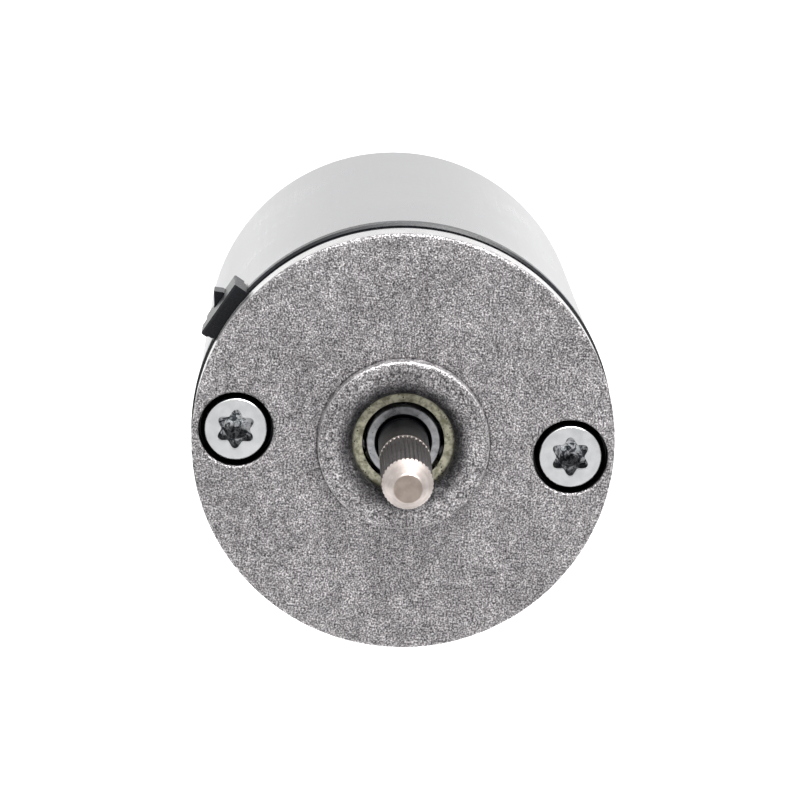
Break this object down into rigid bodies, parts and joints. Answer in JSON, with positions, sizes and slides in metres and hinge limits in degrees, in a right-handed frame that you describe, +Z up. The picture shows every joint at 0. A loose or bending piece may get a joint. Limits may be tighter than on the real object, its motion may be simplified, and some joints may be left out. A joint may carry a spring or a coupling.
{
  "type": "gearmotor",
  "caption": "Round inline DC gearmotor with a die-cast front cover, a serrated output shaft in a shielded bearing, a planetary stage and a plated can.",
  "frame": {"origin": "on the shaft axis, in the plane of the front cover's face", "axes": "-Y along the output shaft towards its tip, X through the two cover screws, +Z up; the terminal lug is at the upper left as seen from the shaft end"},
  "size_m": [0.0424, 0.0818, 0.0424],
  "materials": {
    "die_cast": "blasted, as cast",
    "plated_can": "bright zinc, satin",
    "black_plastic": "moulded, semi-matt",
    "zinc_screw": "bright zinc",
    "bearing_steel": "ground",
    "bearing_ball": "polished",
    "bearing_shield": "greased sheet steel",
    "shaft_steel": "turned and serrated",
    "gear_steel": "hobbed",
    "sintered_steel": "sintered",
    "sintered_bronze": "sintered, oiled",
    "planet_polymer": "moulded, natural",
    "contact_brass": "tinned brass",
    "copper": "enamelled copper",
    "lamination": "stacked sheet",
    "insulator": "moulded",
    "ferrite": "ground ferrite",
    "card": "phenolic laminate",
    "carbon": "graphite",
    "spring_steel": "drawn wire"
  },
  "bodies": {
    "stator": {"front_cover": "die_cast", "cover_screws": "zinc_screw", "gear_housing": "black_plastic", "motor_can": "plated_can", "terminal_positive": "contact_brass", "terminal_negative": "contact_brass", "output_bearing_outer_ring": "bearing_steel", "output_bearing_shields": "bearing_shield", "planet_thrust_washer": "spring_steel", "motor_front_bush": "sintered_bronze", "motor_rear_bush": "sintered_bronze", "rear_bush_clip": "spring_steel", "magnet_upper": "ferrite", "magnet_lower": "ferrite", "brush_card": "card", "brush_card_screws": "zinc_screw", "brush_holder_upper": "contact_brass", "brush_holder_lower": "contact_brass", "brush_spring_upper": "spring_steel", "brush_spring_lower": "spring_steel"},
    "bearing_ball_set": {"output_bearing_balls": "bearing_ball", "output_bearing_cage": "spring_steel"},
    "output": {"output_bearing_inner_ring": "bearing_steel", "output_shaft": "shaft_steel", "planet_carrier": "sintered_steel", "planet_pins": "gear_steel", "pilot_bush": "sintered_bronze"},
    "planet_1": {"planet_gear_1": "planet_polymer"},
    "planet_2": {"planet_gear_2": "planet_polymer"},
    "planet_3": {"planet_gear_3": "planet_polymer"},
    "rotor": {"motor_shaft": "gear_steel", "sun_pinion": "gear_steel", "rotor_thrust_washers": "spring_steel", "commutator_hub": "insulator", "commutator_segments": "copper", "armature_core": "lamination", "armature_insulators": "insulator", "armature_windings": "copper"},
    "brush_upper": {"carbon_brush_upper": "carbon"},
    "brush_lower": {"carbon_brush_lower": "carbon"}
  },
  "joints": [
    {"name": "rotor_spin", "type": "hinge", "parent": "stator", "child": "rotor", "pos_m": [0, 0.04, 0], "axis": [0, -1, 0], "continuous": true},
    {"name": "output_spin", "type": "hinge", "parent": "stator", "child": "output", "pos_m": [0, 0, 0], "axis": [0, -1, 0], "continuous": true},
    {"name": "bearing_ball_set_spin", "type": "hinge", "parent": "stator", "child": "bearing_ball_set", "pos_m": [0, 0.003, 0], "axis": [0, -1, 0], "continuous": true},
    {"name": "planet_1_spin", "type": "hinge", "parent": "output", "child": "planet_1", "pos_m": [0, 0.0115, 0.0081], "axis": [0, -1, 0], "continuous": true},
    {"name": "planet_2_spin", "type": "hinge", "parent": "output", "child": "planet_2", "pos_m": [-0.00701, 0.0115, -0.00405], "axis": [0, -1, 0], "continuous": true},
    {"name": "planet_3_spin", "type": "hinge", "parent": "output", "child": "planet_3", "pos_m": [0.00701, 0.0115, -0.00405], "axis": [0, -1, 0], "continuous": true},
    {"name": "brush_upper_slide", "type": "slide", "parent": "stator", "child": "brush_upper", "axis": [0, 0, 1], "range_m": [0, 0.0015], "stiffness_N_per_m": 200, "springref_m": -0.004, "deforming": ["brush_spring_upper"]},
    {"name": "brush_lower_slide", "type": "slide", "parent": "stator", "child": "brush_lower", "axis": [0, 0, -1], "range_m": [0, 0.0015], "stiffness_N_per_m": 200, "springref_m": -0.004, "deforming": ["brush_spring_lower"]}
  ],
  "couplings": [
    {"joint": "output_spin", "follows": "rotor_spin", "ratio": 0.22222},
    {"joint": "bearing_ball_set_spin", "follows": "rotor_spin", "ratio": 0.075132},
    {"joint": "planet_1_spin", "follows": "rotor_spin", "ratio": -0.62222},
    {"joint": "planet_2_spin", "follows": "rotor_spin", "ratio": -0.62222},
    {"joint": "planet_3_spin", "follows": "rotor_spin", "ratio": -0.62222}
  ]
}
